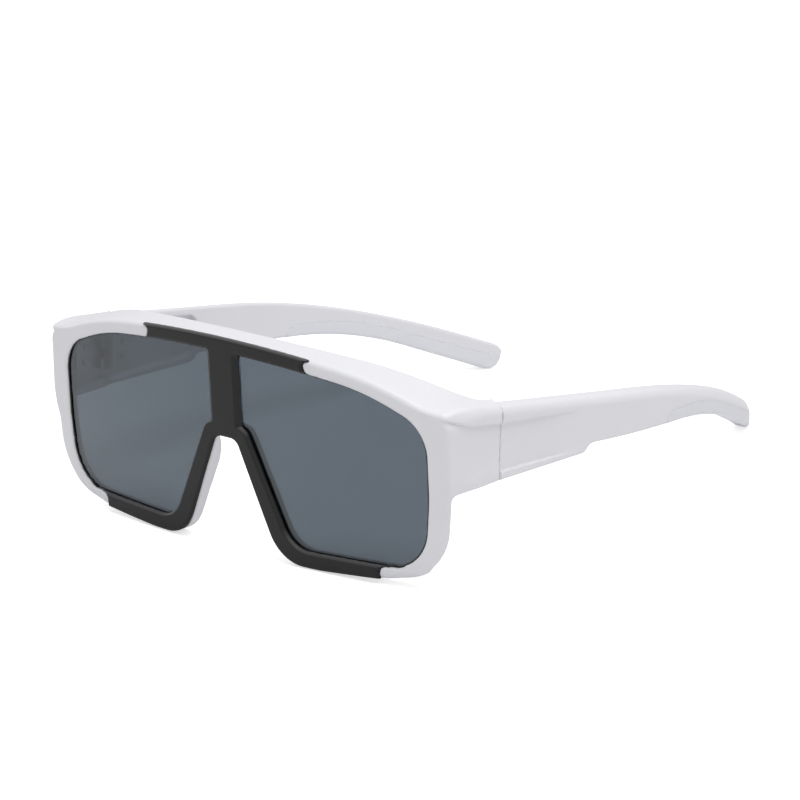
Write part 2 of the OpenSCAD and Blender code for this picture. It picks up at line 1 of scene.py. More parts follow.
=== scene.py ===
# %% [markdown]
# # Wrap-round glasses for the trail
#
# A white moulded front holds one smoke-tinted shield lens. A black trim clips over its middle, and two
# long arms fold on small steel hinges. This file dresses the plain model of the glasses, piece by piece.
# Most of these pieces are injection mouldings: every edge is rolled and every inner corner is filled.
# So the main helper here describes a piece by its distance field, the way a mould maker thinks of it:
# where the material ends, and how softly one face turns into the next.

# %% Load the fixed frame
import json
import math
import bmesh
import bpy
import numpy as np
from mathutils import Matrix, Vector


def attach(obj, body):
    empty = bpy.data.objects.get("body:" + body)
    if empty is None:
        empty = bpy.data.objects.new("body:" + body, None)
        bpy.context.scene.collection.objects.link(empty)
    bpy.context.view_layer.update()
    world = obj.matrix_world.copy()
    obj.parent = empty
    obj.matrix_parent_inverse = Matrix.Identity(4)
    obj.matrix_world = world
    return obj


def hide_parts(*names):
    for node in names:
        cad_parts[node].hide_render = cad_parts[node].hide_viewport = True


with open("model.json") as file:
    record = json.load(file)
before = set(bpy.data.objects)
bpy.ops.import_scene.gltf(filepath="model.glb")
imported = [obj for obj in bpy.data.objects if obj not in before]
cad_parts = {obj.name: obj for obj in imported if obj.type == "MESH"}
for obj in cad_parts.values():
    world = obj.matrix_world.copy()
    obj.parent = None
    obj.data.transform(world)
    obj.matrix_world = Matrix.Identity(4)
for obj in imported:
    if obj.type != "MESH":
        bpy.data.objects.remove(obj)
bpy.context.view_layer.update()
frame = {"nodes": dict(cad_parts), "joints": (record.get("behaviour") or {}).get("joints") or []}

MM = 0.001

# %% [markdown]
# The plain model is centred on its own box. The builder of a moulding thinks in millimetres behind the
# front face instead, so everything below is drawn there, and moved by one number at the end. The hinge's
# place in the frame gives that number.

# %% Where the front face stands in the frame
seam_y = 25.7
left_fold = next(j for j in frame["joints"] if j["name"] == "left_arm_fold")
middle_y = seam_y - left_fold["pos_m"][1] / MM
front_lean = math.radians(1.9)
foot_lift = 5.5 * math.sin(front_lean)
print("the middle of the open glasses lies %.2f mm behind the face" % middle_y)


def leaning(y, z):
    """Depth and height in the leaning front's own place."""
    z = z - foot_lift
    return (y * math.cos(front_lean) - z * math.sin(front_lean),
            y * math.sin(front_lean) + z * math.cos(front_lean))


# %% [markdown]
# ## Camera
# The picture was taken from about 1.3 m away, 45 degrees round from the front and 18 degrees up, with a
# long lens. A long lens keeps the far rim nearly as large as the near one.

# %% The camera
def in_scene(name, data):
    """A new object that shows this data."""
    thing = bpy.data.objects.new(name, data)
    bpy.context.scene.collection.objects.link(thing)
    return thing


def add_camera(place_mm, azimuth, elevation, roll, lens):
    """A camera that looks at the glasses from this side, turned a little on its own axis."""
    a, e, r = (math.radians(v) for v in (azimuth, elevation, roll))
    back = Vector((math.sin(a) * math.cos(e), -math.cos(a) * math.cos(e), math.sin(e)))
    right = Vector((math.cos(a), math.sin(a), 0))
    up = back.cross(right)
    across = right * math.cos(r) + up * math.sin(r)
    upward = up * math.cos(r) - right * math.sin(r)
    data = bpy.data.cameras.new("camera")
    data.sensor_width, data.lens = 36, lens
    data.clip_start, data.clip_end = 0.05, 30
    camera = in_scene("camera", data)
    turned = Matrix((across, upward, back)).transposed().to_4x4()
    turned.translation = Vector((place_mm[0], place_mm[1] - middle_y, place_mm[2])) * MM
    camera.matrix_world = turned
    bpy.context.scene.camera = camera
    return camera


camera = add_camera((849.98, -786.00, 415.91), 44.985, 18.132, -4.040, 216)
print("camera at", [round(v, 3) for v in camera.location])

# %% [markdown]
# ## Node trees
# Sky, floor and finishes are all trees of nodes. Wired line by line, the same few lines would come back
# again and again. So these helpers place a node and fill its sockets, each with a plain value or with
# another node's output.

# %% Helpers for node trees
def plug(tree, node, sockets):
    """Each socket gets a plain value, or a link from the output that is given for it."""
    for key, value in sockets.items():
        if isinstance(value, bpy.types.NodeSocket):
            tree.links.new(value, node.inputs[key])
        else:
            node.inputs[key].default_value = value


def add(tree, kind, sockets=None, **settings):
    """A new node, with its settings by attribute."""
    node = tree.nodes.new(kind)
    for key, value in settings.items():
        setattr(node, key, value)
    plug(tree, node, sockets or {})
    return node


def sums(tree, operation, first, second):
    """One step of arithmetic between outputs or plain numbers."""
    return add(tree, "ShaderNodeMath", {0: first, 1: second}, operation=operation).outputs[0]


def spread(tree, value, low, high, start=0.0, end=1.0):
    """A value from start to end, laid over the range from low to high."""
    return add(tree, "ShaderNodeMapRange", {
        "Value": value, "From Min": start, "From Max": end, "To Min": low, "To Max": high}).outputs[0]


print("nodes can be placed, wired, added up and spread")

# %% [markdown]
# ## Light and floor
# The picture has a plain white ground and very soft light: both the front and the side of the near
# corner are nearly the same grey, and the top is brighter. An even sky does most of it. One wide lamp
# overhead adds the brightness of the top faces, and two faint lamps lift the far side and the front.
# The camera sees sky and floor as white, also through the lens, while the floor keeps a soft shadow.

# %% Sky and lamps
def even_sky(strength):
    world = bpy.data.worlds.new("soft studio")
    world.use_nodes = True
    tree = world.node_tree
    path = add(tree, "ShaderNodeLightPath").outputs
    seen = sums(tree, "MAXIMUM", path["Is Camera Ray"], path["Is Transmission Ray"])
    plug(tree, tree.nodes["Background"], {
        "Color": (1.0, 1.0, 1.0, 1.0), "Strength": spread(tree, seen, strength, 1.0)})
    bpy.context.scene.world = world


def add_lamp(name, place, aim, size, watts):
    data = bpy.data.lights.new(name, "AREA")
    data.shape, data.size, data.energy = "DISK", size, watts
    lamp = in_scene(name, data)
    lamp.location = place
    lamp.rotation_mode = "QUATERNION"
    lamp.rotation_quaternion = (Vector(aim) - Vector(place)).to_track_quat("-Z", "Y")
    print("lamp:", name, watts, "W")


even_sky(0.46)
add_lamp("overhead", (0.19, 0.0, 0.75), (0, 0, 0.03), 0.6, 4.0)
add_lamp("far side", (-1.5, -0.2, 0.4), (0, 0, 0.02), 0.6, 2.2)
add_lamp("front", (-0.4, -1.4, 0.5), (0, 0, 0.02), 0.8, 1.4)
bpy.context.scene.view_settings.view_transform = "Standard"

# %% [markdown]
# White paper is not quite as bright as the picture's ground, so the floor glows a little, but only for
# the camera, and less for what is seen through the lens.

# %% The floor
def add_floor(size, tone, lift, behind_lens):
    bm = bmesh.new()
    bmesh.ops.create_grid(bm, x_segments=1, y_segments=1, size=size)
    mesh = bpy.data.meshes.new("floor")
    bm.to_mesh(mesh)
    bm.free()
    floor = in_scene("floor", mesh)
    material = bpy.data.materials.new("white paper ground")
    material.use_nodes = True
    tree = material.node_tree
    path = add(tree, "ShaderNodeLightPath").outputs
    through = sums(tree, "MULTIPLY", path["Is Transmission Ray"], behind_lens)
    seen = sums(tree, "MAXIMUM", path["Is Camera Ray"], through)
    plug(tree, tree.nodes["Principled BSDF"], {
        "Base Color": (tone, tone, tone, 1), "Roughness": 0.9, "Specular IOR Level": 0.1,
        "Emission Color": (1, 1, 1, 1), "Emission Strength": sums(tree, "MULTIPLY", seen, lift)})
    mesh.materials.append(material)
    return floor


floor = add_floor(3.0, tone=0.88, lift=0.57, behind_lens=0.6)
print("floor:", round(floor.dimensions.x, 1), "m wide")

# %% [markdown]
# ## Outlines
# A moulding's flat view is drawn as a chain of corners, each with its own radius. The same corners gave
# the plain model its shape. They are sampled finely here, because light shows every kink in a curve.

# %% Rounded outlines
def fillet(a, b, c, radius, steps=24):
    """Points on the arc that rounds corner b between its neighbours a and c."""
    a, b, c = (np.array(p[:2], float) for p in (a, b, c))
    u, v = (a - b) / np.linalg.norm(a - b), (c - b) / np.linalg.norm(c - b)
    half = math.acos(np.clip(u @ v, -1, 1)) / 2
    w = (u + v) / np.linalg.norm(u + v)
    m = b + w * radius / math.sin(half)
    p, q = b + u * radius / math.tan(half), b + v * radius / math.tan(half)
    start = math.atan2(p[1] - m[1], p[0] - m[0])
    sweep = (math.atan2(q[1] - m[1], q[0] - m[0]) - start + 3 * math.pi) % (2 * math.pi) - math.pi
    t = start + sweep * np.linspace(0, 1, steps + 1)
    return m + radius * np.stack([np.cos(t), np.sin(t)], 1)


def outline(corners):
    """Closed outline from corners (u, v, radius)."""
    points = []
    for i, b in enumerate(corners):
        if b[2] == 0:
            points.append(np.array([b[:2]], float))
        else:
            points.append(fillet(corners[i - 1], b, corners[(i + 1) % len(corners)], b[2]))
    return np.concatenate(points)


def both(half):
    """A right half and its mirror image, as one closed chain of corners."""
    return list(half) + [(-x, z, r) for x, z, r in reversed(half) if x > 0]


square = [(0, 0, 2), (10, 0, 2), (10, 10, 2), (0, 10, 2)]
print("a square with rounded corners is drawn with", len(outline(square)), "points")

# %% [markdown]
# ## Distance tables
# The distance to an outline is worked out once on a fine flat grid and read between its points. That
# is much faster than asking every outline edge again for each point in space.

# %% Distance to an outline
def flat_distance(points, u, v):
    """Signed distance from the places (u, v) to a closed outline, negative inside it."""
    best = np.full(u.shape, 1e9)
    inside = np.zeros(u.shape, bool)
    for (au, av), (bu, bv) in zip(points, np.roll(points, -1, 0)):
        du, dv = bu - au, bv - av
        length = du * du + dv * dv
        if length < 1e-12:
            continue
        t = np.clip(((u - au) * du + (v - av) * dv) / length, 0, 1)
        best = np.minimum(best, (u - au - t * du) ** 2 + (v - av - t * dv) ** 2)
        if dv:
            inside ^= ((av > v) != (bv > v)) & (u < du * (v - av) / dv + au)
    return np.where(inside, -1, 1) * np.sqrt(best)


def distance_table(points, low, high, step=0.25):
    """A reader of that distance from a grid that is filled once."""
    across = np.arange(low[0], high[0] + step, step)
    up = np.arange(low[1], high[1] + step, step)
    table = flat_distance(points, *np.meshgrid(across, up, indexing="ij"))

    def read(u, v):
        i = np.clip((u - low[0]) / step, 0, len(across) - 1.001)
        j = np.clip((v - low[1]) / step, 0, len(up) - 1.001)
        i0, j0 = i.astype(int), j.astype(int)
        fi, fj = i - i0, j - j0
        return ((table[i0, j0] * (1 - fi) + table[i0 + 1, j0] * fi) * (1 - fj)
                + (table[i0, j0 + 1] * (1 - fi) + table[i0 + 1, j0 + 1] * fi) * fj)
    return read


def soft_max(a, b, r):
    """What lies in both a and b, with the edge between them rolled at radius r."""
    return np.minimum(np.maximum(a, b), -r) + np.hypot(np.maximum(a + r, 0), np.maximum(b + r, 0))


def soft_min(a, b, r):
    """What lies in a or b, with the inner corner between them filled at radius r."""
    return -soft_max(-a, -b, r)


def fade(v, start, end):
    """0 before start, 1 after end, and an even rise between."""
    t = np.clip((v - start) / (end - start), 0, 1)
    return t * t * (3 - 2 * t)


edge_of_square = distance_table(outline(square), (0, 0), (10, 10))
print("3 mm inside that square its table reads", edge_of_square(np.array([3.0]), 5.0))

# %% [markdown]
# ## From a field to a skin
# The skin of a piece lies where its distance is zero. A grid of cells is laid over the piece. Each cell
# that the skin passes through gets one point, and neighbouring points are joined into squares. The
# points are then evened out, and pulled onto the exact surface along the slope of the field. That slope
# is also the true normal, so curved faces catch the light without facets.

# %% The skin of a distance field
def cell_net(values, low, cell):
    """One point for each cell that the skin passes through, and the squares that join them."""
    inside = values < 0
    shape = np.array(values.shape) - 1
    ids, places, quads = [], [], []
    rings = {0: [(0, -1, -1), (0, 0, -1), (0, 0, 0), (0, -1, 0)],
             1: [(-1, 0, -1), (-1, 0, 0), (0, 0, 0), (0, 0, -1)],
             2: [(-1, -1, 0), (0, -1, 0), (0, 0, 0), (-1, 0, 0)]}
    for axis, ring in rings.items():
        first = np.take(inside, np.arange(shape[axis]), axis)
        crossed = np.argwhere(first != np.take(inside, np.arange(1, shape[axis] + 1), axis))
        ahead = crossed.copy()
        ahead[:, axis] += 1
        a, b = values[tuple(crossed.T)], values[tuple(ahead.T)]
        point = crossed.astype(float)
        point[:, axis] += a / (a - b)
        cells = [(crossed + np.array(r)) @ [shape[1] * shape[2], shape[2], 1] for r in ring]
        ids += cells
        places += [point] * 4
        square = np.stack(cells, 1)
        outward = inside[tuple(crossed.T)]
        quads.append(np.where(outward[:, None], square, square[:, ::-1]))
    used, which = np.unique(np.concatenate(ids), return_inverse=True)
    places = np.concatenate(places)
    count = np.bincount(which)
    mean = np.stack([np.bincount(which, places[:, k]) / count for k in range(3)], 1)
    return low + cell * mean, np.searchsorted(used, np.concatenate(quads))


def slope_of(field, p, h):
    """Four readings round each point give the slope of the field there."""
    total = np.zeros_like(p)
    for corner in ((1, -1, -1), (-1, -1, 1), (-1, 1, -1), (1, 1, 1)):
        k = np.array(corner, float)
        total += field(p + h * k)[:, None] * k
    return total / (4 * h)


def settle(field, p):
    """One step of the points onto the exact surface, along the slope."""
    slope = slope_of(field, p, 0.05)
    size = np.maximum((slope ** 2).sum(1), 0.25)
    return p - slope * np.clip(field(p) / size, -0.3, 0.3)[:, None]


def even_out(p, quads, share):
    """Each point moved a share of the way to the middle of its neighbours."""
    a = quads[:, [0, 1, 2, 3]].ravel()
    b = quads[:, [1, 2, 3, 0]].ravel()
    count = np.bincount(a, minlength=len(p)) + np.bincount(b, minlength=len(p))
    mean = np.stack([np.bincount(a, p[b, k], len(p)) + np.bincount(b, p[a, k], len(p)) for k in range(3)], 1)
    return p + share * (mean / count[:, None] - p)


def skin(field, low, high, cell, mirrored=False, whole=None, feel=0.12):
    """Points, squares and normals of a piece, in millimetres. At a joint they follow the whole shape."""
    low, high = np.array(low, float), np.array(high, float)
    counts = np.ceil((high - low) / cell).astype(int) + 1
    axes = [low[k] + cell * np.arange(counts[k]) for k in range(3)]
    values = np.empty(counts)
    for i in range(0, counts[0], 24):
        block = np.stack(np.meshgrid(axes[0][i:i + 24], axes[1], axes[2], indexing="ij"), -1)
        values[i:i + 24] = field(block.reshape(-1, 3)).reshape(block.shape[:3])
    if mirrored:
        values = np.concatenate([values[:0:-1], values])
        low = np.array([low[0] - cell * (counts[0] - 1), low[1], low[2]])
    points, quads = cell_net(values, low, cell)
    for _ in range(3):
        points = settle(field, even_out(points, quads, 0.5))
    points = settle(field, points)
    normals = slope_of(field, points, feel)
    if whole:
        outside = np.abs(whole(points)) < feel / 2
        normals[outside] = slope_of(whole, points[outside], feel)
    normals /= np.maximum(np.linalg.norm(normals, axis=1), 1e-9)[:, None]
    return points, quads, normals


def as_mesh(name, points, quads, normals):
    """A piece in the frame's metres from a skin in millimetres."""
    placed = (points - [0, middle_y, 0]) * MM
    mesh = bpy.data.meshes.new(name)
    mesh.vertices.add(len(placed))
    mesh.vertices.foreach_set("co", placed.ravel())
    mesh.loops.add(quads.size)
    mesh.loops.foreach_set("vertex_index", quads.ravel().astype(np.int32))
    mesh.polygons.add(len(quads))
    mesh.polygons.foreach_set("loop_start", np.arange(0, quads.size, 4, dtype=np.int32))
    mesh.polygons.foreach_set("use_smooth", np.ones(len(quads), bool))
    mesh.update(calc_edges=True)
    mesh.normals_split_custom_set_from_vertices(normals)
    piece = in_scene(name, mesh)
    size = points.max(0) - points.min(0)
    print("%s: %d triangles, %.1f x %.1f x %.1f mm" % (name, 2 * len(quads), *size))
    return piece


# %% [markdown]
# ## The brow line and the front's outline
# Seen from the front, the brow is a long shallow arch that turns down over each shoulder. The lens
# opening follows it. Both are drawn as half a chain of corners and mirrored, as the mould is.

# %% Corners of the front
front_half, brow_z, crown_r = 72.0, 56.5, 350.0
shoulder_r, shoulder_x, shoulder_turn = 95.0, 38.0, math.radians(15.2)
face_r, brow_band, open_half, open_low = 400.0, 3.9, 65.4, 4.2
nose_foot, nose_top, nose_z, nose_arm, nose_wall, bridge_band = 17.2, 3.7, 30.0, 4.2, 1.9, 4.6
ring_depth, shelf_thick = 4.4, 3.6
lens_set, lens_thick, lens_lap, lens_play = 0.9, 2.0, 1.4, 0.05
open_shoulder_r = 68.0

shoulder_slope = math.asin(shoulder_x / crown_r)


def tangent_z(x):
    """Height of the straight line in which the arch runs out."""
    return brow_z - crown_r * (1 - math.cos(shoulder_slope)) - (x - shoulder_x) * math.tan(shoulder_slope)


def bend_x(r):
    return shoulder_x + r * math.tan(shoulder_turn / 2) * math.cos(shoulder_slope) + 0.1


def brow_corner_z(x, start):
    return tangent_z(start) - math.tan(shoulder_slope + shoulder_turn) * (x - start)


def brow_corners(drop, x, r):
    """The arch and the bend over the shoulder, this far below the brow line."""
    top = brow_z + crown_r * (1 / math.cos(shoulder_slope) - 1)
    return [(0, top - drop, crown_r - drop), (x, tangent_z(x) - drop, r)]


outer_bend, inner_bend = bend_x(shoulder_r), bend_x(open_shoulder_r)
front_corners = brow_corners(0, outer_bend, shoulder_r) + [
    (front_half, brow_corner_z(front_half, outer_bend), 3),
    (front_half, 27, 60), (front_half - 2.3, 4.9, 16), (50, 1.2, 40), (30, 0, 60),
    (nose_foot, 0, 12), (nose_top, nose_z, 3)]
opening_corners = brow_corners(brow_band, inner_bend, open_shoulder_r) + [
    (open_half, brow_corner_z(open_half, inner_bend) - brow_band, 11),
    (open_half, 24, 60), (open_half - 2, open_low + 1, 12), (nose_foot + nose_arm, open_low, 9),
    (nose_top + nose_arm - 0.7, nose_z + bridge_band - 1.4, 4), (0, nose_z + bridge_band, 12)]
table_low, table_high = (-1.0, -7.0), (79.0, 64.0)
edge_of_front = distance_table(outline(both(front_corners)), table_low, table_high)
edge_of_opening = distance_table(outline(both(opening_corners)), table_low, table_high)
print("brow corner at", [round(v, 2) for v in front_corners[2]])

# %% [markdown]
# ## The white front
# One moulding carries the lens ring, the brow shelf, the nose wall and the two hollow end pieces. Its
# field is put together the way the tool was cut: ring, shelf, nose wall and end pieces are joined with
# filled corners, and then the seat of the trim and the groove of the lens are taken out.

# %% Fields of the front's parts
seam_half, arm_half, arm_thick, wall = 73.2, 73.4, 4.6, 2.2
seam_lap, joint_roll, trim_play = 0.03, 0.06, 0.06
arm_top, arm_low, end_low, hinge_z = 45.2, 25.0, 25.7, 34.6
wall_in = seam_half - wall
top_inner = arm_half - arm_thick
hinge_tilt, top_fall, bevel_fall = math.radians(8), 0.207, math.radians(21)
ledge_line = ([0, 7.2, 16, 26.2, 35.7, 44, 56, 70], [48, 45.9, 42.2, 40.1, 38.5, 37.2, 35.2, 33])

shelf_under = distance_table(outline(both(
    [(0, 100, 0), (110, 100, 0), (110, brow_corner_z(110, inner_bend) - shelf_thick, 0)]
    + brow_corners(shelf_thick, inner_bend, open_shoulder_r)[::-1])), table_low, table_high)
nose_edge = distance_table(outline(both(
    [(0, nose_z + nose_wall, 0), (nose_top + nose_wall - 0.4, nose_z + nose_wall, 4),
     (nose_foot + nose_wall, -3, 0)])), table_low, table_high)
shelf_corner = distance_table(outline(
    [(front_half - 22, 10, 0), (90, 10, 0), (90, seam_y + 1, 0), (top_inner + 0.9, seam_y + 1, 0),
     (top_inner + 0.9, 22.5, 5.5), (front_half - 22, 14.7, 0)]), (40.0, 0.0), (80.0, 34.0))


def face_depth(x, y):
    """Depth behind the curved front face."""
    return face_r - np.hypot(x, face_r - y)


def seam_side(y, z):
    """Distance behind the middle of the leaning seam."""
    return (y - seam_y) * math.cos(hinge_tilt) - (z - hinge_z) * math.sin(hinge_tilt)


def bevel_side(x, y, z):
    """Distance above the outward-falling top of the end pieces and arms."""
    a = math.atan(top_fall)
    n = (math.sin(bevel_fall), math.cos(bevel_fall) * math.sin(a), math.cos(bevel_fall) * math.cos(a))
    return n[0] * (x - seam_half + 2.4) + n[1] * (y - seam_y) + n[2] * (z - arm_top)


def panel_sink(y, z, low_share):
    """How far the side panel is sunk: a crisp ledge above it and a soft run-out below."""
    above = np.interp(y, *ledge_line)
    return 0.7 * fade(above - z, -0.05, 0.4) * low_share


def side_face(y, z):
    """Half width of the front over its side: it grows a little from the face to the seam."""
    at_face = 1 - fade(y, 8, 20)
    run_out = np.maximum(fade(z, 25, 31), at_face)
    narrow = 0.9 * at_face * fade(29 - z, -2, 8) + 1.6 * (1 - fade(y, 7, 16)) * fade(z, 42, 46.5)
    return np.interp(y, [6, 23], [73.0, seam_half]) - panel_sink(y, z, run_out) - narrow


def end_core(x, y, z):
    """The hollow block behind each shoulder, without its outer skin."""
    bottom = end_low - 0.6 * (y - 4) / 20.4
    body = soft_max(top_inner - x, bottom - z, 1.0)
    roof = np.interp(y, [0, seam_y + 9], [arm_top - 1.8, arm_top - 3.9])
    hollow = soft_max(soft_max(x - wall_in, z - roof, 0.6), soft_max(bottom + 2.4 - z, 9 - y, 0.6), 0.6)
    return soft_max(soft_max(body, -hollow, 0.4), 5.5 - y, 0.5)


def outer_skin(x, y, z, zl, o, q):
    """All that the eye sees of the front from outside: face, brow, shoulders and lower rim."""
    top = z - np.interp(y, [4, 6.5, 9, 12, 16, 22, 25.84], [45.7, 46.1, 46.9, 47.3, 47.25, 45.97, 45.15])
    crest = 2.8 - 0.9 * fade(y, 14, 24)
    shoulder = soft_max(soft_max(x - side_face(y, z), bevel_side(x, y, z), crest), top, 1.2)
    facet_start = np.interp(zl, [11, 14, 19, 21.4, 24.3, 27.5], [1.4, 1.5, 1.75, 1.45, 0.7, 0.05])
    facet = (0.8 * (o + facet_start) - facet_start * q) / np.hypot(0.8, facet_start)
    lower = np.maximum(facet, o) * fade(x, 58, 66) + o * (1 - fade(x, 58, 66))
    at_shoulder = fade(zl, 21, 30) * fade(x, 25, 40)
    flat = lower + (soft_min(o, shoulder, 0.6 + 1.8 * fade(zl, 44.5, 46.5)) - lower) * at_shoulder
    roll = np.interp(zl, [0, 8, 16, 24, 34, 39.5, 44, 47], [1.4, 1.0, 0.5, 0.5, 1.0, 1.5, 1.5, 1.4])
    roll = roll + (1.5 - roll) * (1 - fade(x, 58, 66))
    return soft_max(flat, -q, roll)


def rim_back(x, zl, o, q):
    """The ring's own back: flat behind the lens, and sloping towards the side below the end piece."""
    slope = 0.72 * (o - 0.1) + 0.69 * (q - 0.8) - 4 * (1 - fade(x, 58, 66)) - 3 * fade(zl, 30, 36)
    return soft_max(q - ring_depth, slope, 0.6)


print("the front is %.1f mm wide over the seams" % (2 * side_face(seam_y, hinge_z)))

# %% [markdown]
# The black trim lies in a seat in the white front, so its outline is needed for both. Two white claws
# bound it: one on the brow and one under the lens. Behind its arms the white wall for the nose stands
# up as a slim leaf.

# %% Where the trim and the nose wall end
top_bar_half, top_bar_hook, low_trim_half = 27.7, 2.0, 50.0
bar_half, bar_spread, trim_proud, trim_roll = 4.7, 1.2, 0.5, 0.9
top_claw = distance_table(outline(
    [(top_bar_half, tangent_z(top_bar_half) - 0.75, 1.1), (top_bar_half + 1.0, 51.42, 1.8), (31.5, 51.05, 0),
     (31.5, 30, 0), (95, 30, 0), (95, tangent_z(95) - 0.75, 0)]), table_low, table_high)
low_claw = distance_table(outline(
    [(low_trim_half - 0.4, -5, 0), (low_trim_half - 0.4, 4.6, 1.9), (55.5, 5.1, 4), (64, 8, 0), (64, 22, 0),
     (95, 22, 0), (95, -5, 0)]), table_low, table_high)


def trim_zone(x, z):
    """Distance to the part of the front that the trim takes, between the white claws."""
    top = soft_max(x - top_bar_half - top_bar_hook, 31 - z, 0.1)
    top = np.maximum(top, -top_claw(x, z))
    low = np.maximum(np.maximum(z - 37, x - 57), -low_claw(x, z))
    return np.minimum(top, low)


def trim_area(x, z, o, w, widened=0.0):
    """Distance to the black trim's flat outline, with its middle bar widened."""
    bar = soft_min(-w, x - bar_half - widened, 0.7)
    return np.maximum(np.maximum(o, bar), trim_zone(x, z))


def nose_reach(zl):
    """How far the white wall beside the nose reaches back, by height: a slim leaf shape."""
    heights = [0, 4, 7.8, 11.3, 15.5, 19.7, 21.8, 24, 26.1, 27.3, 29, 30]
    return np.interp(zl, heights, [2.3, 2.7, 3.25, 3.9, 4.6, 4.9, 5.0, 4.4, 3.6, 2.9, 1.8, 1.5])


print("the nose wall is %.1f mm deep at most" % nose_reach(np.arange(31.0)).max())


# %% [markdown]
# Now the front can be put together. Its field is asked only for the right half, as both are the same.

# %% The front
def front_field(p):
    """Ring, shelf, end piece and nose wall, inside the outer skin, less the groove and the seat."""
    x, y, z = np.abs(p[:, 0]), p[:, 1], p[:, 2]
    yl, zl = leaning(y, z)
    q = face_depth(x, yl)
    o, w = edge_of_front(x, zl), edge_of_opening(x, zl)
    shelf_plan = np.minimum(180 - np.hypot(x, yl - 188), shelf_corner(x, yl))
    core = soft_min(rim_back(x, zl, o, q), soft_max(shelf_plan, shelf_under(x, zl), 0.9), 0.9)
    core = soft_min(core, end_core(x, y, z), 1.3)
    core = soft_max(core, -w, 0.5)
    reach = nose_reach(zl)
    core = soft_max(core, 0.7 * (q - reach - nose_edge(x, zl) - nose_wall), 0.4)
    nose = soft_max(nose_edge(x, zl), q - reach, 0.5)
    body = soft_min(core, nose, 0.3)
    body = soft_max(body, outer_skin(x, y, z, zl, o, q), 0.8 + 0.3 * fade(y, 18, 24))
    body = soft_max(body, seam_side(y, z) - seam_lap, joint_roll)
    sheet = np.abs(q - lens_set - lens_thick / 2) - lens_thick / 2
    groove = np.maximum(w - lens_lap - 2 * lens_play, sheet - lens_play)
    seat = np.maximum(trim_area(x, zl, o - 2, w) - trim_play, q - lens_set)
    seat = np.maximum(seat, -np.maximum(nose_edge(x, zl) + trim_play, 0.5 - q))
    body = soft_max(body, -groove, 0.15)
    return soft_max(body, -seat, 0.25)


front_shell = as_mesh("front_shell", *skin(
    front_field, (0, -1.2, -0.8), (74.4, 28.4, 58.4), 0.4, mirrored=True))

# %% [markdown]
# ## The black trim
# A second moulding, clipped over the first. It stands half a millimetre proud, and its edges are rolled
# so far that its arms look almost half round. The middle bar's sides slope out towards the lens. Where
# white meets lens, a thin black liner shows. It could all be separate strips, but it is read as one
# moulding, so one field holds it.

# %% The trim
def trim_field(p):
    x, y, z = np.abs(p[:, 0]), p[:, 1], p[:, 2]
    yl, zl = leaning(y, z)
    q = face_depth(x, yl)
    o, w = edge_of_front(x, zl), edge_of_opening(x, zl)
    area = trim_area(x, zl, o, w, widened=np.interp(q, [-0.3, 0.85], [0.0, bar_spread]))
    body = soft_max(area, -trim_proud - q, trim_roll)
    body = soft_max(body, q - lens_set + lens_play, 0.15)
    liner_width = (0.4 - 0.18 * fade(z, 36, 44)) * fade(trim_zone(x, zl), -0.8, 0)
    liner = np.maximum(np.maximum(-liner_width - w, w + 0.02), np.abs(q - 0.7) - 0.2)
    body = np.minimum(body, liner)
    lip = np.maximum(nose_edge(x, zl), 0.4 - q)
    return soft_max(body, -lip, 0.15)


black_trim = as_mesh("black_trim", *skin(
    trim_field, (0, -1.6, -0.8), (70, 14, 58.4), 0.3, mirrored=True))

# %% [markdown]
# ## The shield lens
# One sheet, 2 mm thick, curved like the face. It sits in a groove behind the ring's lip. It could be a
# flat outline that is bent, but its field is only two lines: an outline, and a distance from the face.

# %% The lens
def lens_field(p):
    x, y, z = np.abs(p[:, 0]), p[:, 1], p[:, 2]
    yl, zl = leaning(y, z)
    q = face_depth(x, yl)
    w = edge_of_opening(x, zl) - lens_lap
    return soft_max(w, np.abs(q - lens_set - lens_thick / 2) - lens_thick / 2, 0.35)


shield_lens = as_mesh("shield_lens", *skin(
    lens_field, (0, 0.4, 1.2), (69.5, 13, 56), 0.5, mirrored=True))

# %% [markdown]
# ## The arms
# Each arm is a blade that bends in behind the ear and falls to a soft tip. Its front block is hollow
# like the end piece, and a panel is sunk into its outer face.

# %% Corners of an arm seen from the side
bend_y, bend_r, block_y, low_rise = 66.0, 150.0, 56.0, 0.063
tip_y, tip_fall, tip_blade, low_fall = 151.0, 0.52, 7.9, 0.13
tip_low_r, tip_top_r, front_end = 2.8, 3.8, 5.0
tip_angle = math.atan(tip_fall)
tip_drop = tip_low_r * (math.sqrt(2) * math.cos(math.pi / 4 - tip_angle) - 1)
tip_height = tip_blade * math.cos(tip_angle) - tip_drop
tip_low_y = tip_y - tip_blade * math.sin(tip_angle)
arm_bend_y = (arm_top + top_fall * seam_y - tip_height - tip_fall * tip_y) / (top_fall - tip_fall)
arm_bend_z = arm_top - top_fall * (arm_bend_y - seam_y)
block_low = arm_low - low_rise * (block_y - seam_y)
low_start_z = block_low + 1.9
low_bend_y = (low_start_z + low_fall * (block_y + 2) + tip_drop
              - tip_fall * tip_low_y) / (low_fall - tip_fall)
low_bend_z = low_start_z - low_fall * (low_bend_y - block_y - 2)
pad_y, pad_height, pad_lap, pad_proud, pad_play = 89.4, 3.65, 0.25, 0.06, 0.05

